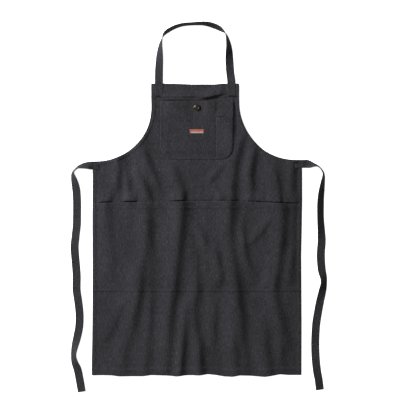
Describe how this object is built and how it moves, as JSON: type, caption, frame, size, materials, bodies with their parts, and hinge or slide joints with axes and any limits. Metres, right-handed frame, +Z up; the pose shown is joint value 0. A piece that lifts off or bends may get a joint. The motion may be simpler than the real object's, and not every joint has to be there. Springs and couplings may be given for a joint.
{
  "type": "bib apron",
  "caption": "Cloth bib apron lying flat, with a neck loop, waist ties, a buttoned chest pocket, a pen pocket and a lower pocket panel.",
  "frame": {"origin": "middle of the underside of the bottom hem, on the surface that the apron lies on", "axes": "+Z up out of the cloth, +Y from the hem to the neck loop, +X to the right as the front is seen"},
  "size_m": [0.7795, 1.1223, 0.0251],
  "materials": {
    "cloth": "charcoal yarn-dyed denim with fine vertical slubs",
    "strap": "folded strap of the same denim",
    "thread": "dark grey sewing thread",
    "label": "two-tone woven tape with no lettering",
    "button_brass": "antique dark brass",
    "button_centre": "dark recessed centre"
  },
  "bodies": {
    "root": {"body_panel": "cloth", "armhole_facing_left": "cloth", "armhole_facing_right": "cloth", "chest_pocket": "cloth", "pen_pocket": "cloth", "lower_pocket_panel": "cloth", "neck_strap_ends": "strap", "waist_tie_end_left": "strap", "waist_tie_end_right": "strap", "woven_label": "label", "button_core": "button_centre", "button_tack": "button_brass", "hem_stitching": "thread", "bib_hem_stitching": "thread", "armhole_stitching": "thread", "chest_pocket_stitching": "thread", "pen_pocket_stitching": "thread", "lower_pocket_stitching": "thread", "neck_strap_stitching": "thread", "waist_tie_stitching": "thread", "label_stitching": "label", "buttonhole_stitching": "thread", "bar_tacks": "thread"},
    "neck_loop": {"neck_strap": "strap"},
    "left_tie": {"waist_tie_left": "strap"},
    "right_tie": {"waist_tie_right": "strap"},
    "button": {"button_cap": "button_brass"}
  },
  "joints": [
    {"name": "neck_loop_fold", "type": "hinge", "parent": "root", "child": "neck_loop", "pos_m": [0, 0.87, 0.0032], "axis": [1, 0, 0], "range_deg": [0, 160]},
    {"name": "left_tie_fold", "type": "hinge", "parent": "root", "child": "left_tie", "pos_m": [-0.315, 0.6275, 0.0032], "axis": [0, 1, 0], "range_deg": [0, 130]},
    {"name": "right_tie_fold", "type": "hinge", "parent": "root", "child": "right_tie", "pos_m": [0.315, 0.6275, 0.0032], "axis": [0, -1, 0], "range_deg": [0, 130]},
    {"name": "button_swivel", "type": "hinge", "parent": "root", "child": "button", "pos_m": [0, 0.802, 0.0051], "axis": [0, 0, 1], "continuous": true}
  ]
}
